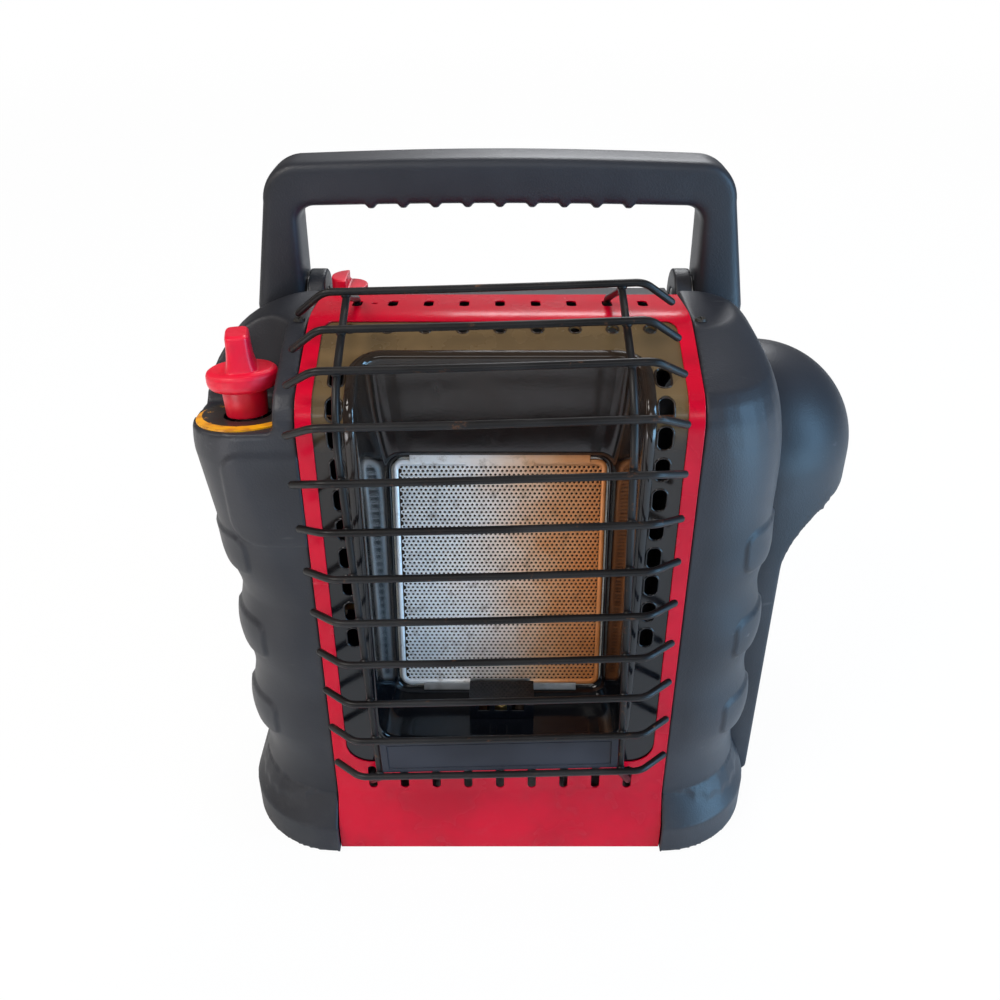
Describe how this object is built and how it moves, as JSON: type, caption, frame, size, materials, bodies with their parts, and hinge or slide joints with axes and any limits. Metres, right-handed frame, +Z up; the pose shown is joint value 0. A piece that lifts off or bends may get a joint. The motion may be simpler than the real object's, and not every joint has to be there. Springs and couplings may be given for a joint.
{
  "type": "portable propane heater",
  "caption": "Portable radiant propane heater with a red wrap-over front, wire guard, folding carry handle, gas knob and a domed bay for a screw-in gas cylinder.",
  "frame": {"origin": "on the floor, under the middle of the whole heater with its handle up", "axes": "+X to the right as seen from the front, +Y from the front to the rear, +Z up"},
  "size_m": [0.365, 0.2008, 0.387],
  "materials": {
    "red_enamel": "gloss powder coat on sheet steel, lightly scuffed",
    "black_enamel": "glossy black vitreous enamel",
    "charcoal_plastic": "charcoal grained moulded plastic",
    "red_plastic": "satin red moulded plastic",
    "dial_print": "orange printed dial",
    "stainless": "perforated stainless sheet, heat tinted",
    "steel": "bright zinc plated steel",
    "galvanised": "galvanised sheet",
    "guard_wire": "black coated wire with a little rust",
    "guard_plate": "dark blue-grey coated plate",
    "ceramic": "porous ceramic burner tile",
    "gasket": "ceramic fibre gasket",
    "brass": "machined brass",
    "copper": "bent copper tube",
    "cast_alloy": "die-cast alloy",
    "rubber": "black rubber",
    "lead": "silicone covered lead"
  },
  "bodies": {
    "shell": {"front_panel": "red_enamel", "left_housing": "charcoal_plastic", "right_housing": "charcoal_plastic", "bay_cover": "charcoal_plastic", "rear_cover": "charcoal_plastic", "base_plate": "galvanised", "feet": "rubber", "reflector": "black_enamel", "heat_shield": "galvanised", "burner_screen": "stainless", "screen_bracket_top": "stainless", "screen_bracket_bottom": "galvanised", "ceramic_tile": "ceramic", "tile_gasket": "gasket", "burner_plenum": "galvanised", "venturi_tube": "galvanised", "burner_jet": "brass", "wire_guard": "guard_wire", "guard_plate": "guard_plate", "left_pivot_boss": "charcoal_plastic", "right_pivot_boss": "charcoal_plastic", "handle_pins": "steel", "handle_washers": "steel", "dial_plate": "dial_print", "knob_spring": "steel", "valve_body": "brass", "igniter_spring": "steel", "igniter_body": "charcoal_plastic", "igniter_lead": "lead", "pilot_burner": "brass", "spark_electrode": "ceramic", "thermocouple": "copper", "pilot_hood": "black_enamel", "tip_switch": "charcoal_plastic", "regulator_bracket": "galvanised", "regulator_pin": "steel", "gas_inlet_tube": "copper", "burner_tube": "copper", "pilot_tube": "copper", "top_screws": "steel", "rear_screws": "steel"},
    "handle": {"handle": "charcoal_plastic"},
    "knob_slide": {"spring_seat": "steel"},
    "knob": {"control_knob": "red_plastic", "valve_stem": "steel"},
    "igniter": {"igniter_button": "red_plastic"},
    "regulator": {"regulator_body": "cast_alloy", "cylinder_socket": "brass", "socket_seal": "rubber"}
  },
  "joints": [
    {"name": "handle_fold", "type": "hinge", "parent": "shell", "child": "handle", "pos_m": [-0.0255, 0.06045, 0.306], "axis": [1, 0, 0], "range_deg": [-90, 0]},
    {"name": "knob_push", "type": "slide", "parent": "shell", "child": "knob_slide", "axis": [0.0346, -0.1392, -0.9897], "range_m": [0, 0.006], "stiffness_N_per_m": 400, "deforming": ["knob_spring"]},
    {"name": "knob_turn", "type": "hinge", "parent": "knob_slide", "child": "knob", "pos_m": [-0.153, -0.04055, 0.28], "axis": [-0.0346, 0.1392, 0.9897], "range_deg": [0, 225]},
    {"name": "igniter_press", "type": "slide", "parent": "shell", "child": "igniter", "axis": [0, 0, -1], "range_m": [0, 0.005], "stiffness_N_per_m": 300, "deforming": ["igniter_spring"]},
    {"name": "regulator_swing", "type": "hinge", "parent": "shell", "child": "regulator", "pos_m": [0.1245, 0.04245, 0.252], "axis": [0, -1, 0], "range_deg": [0, 30]}
  ]
}
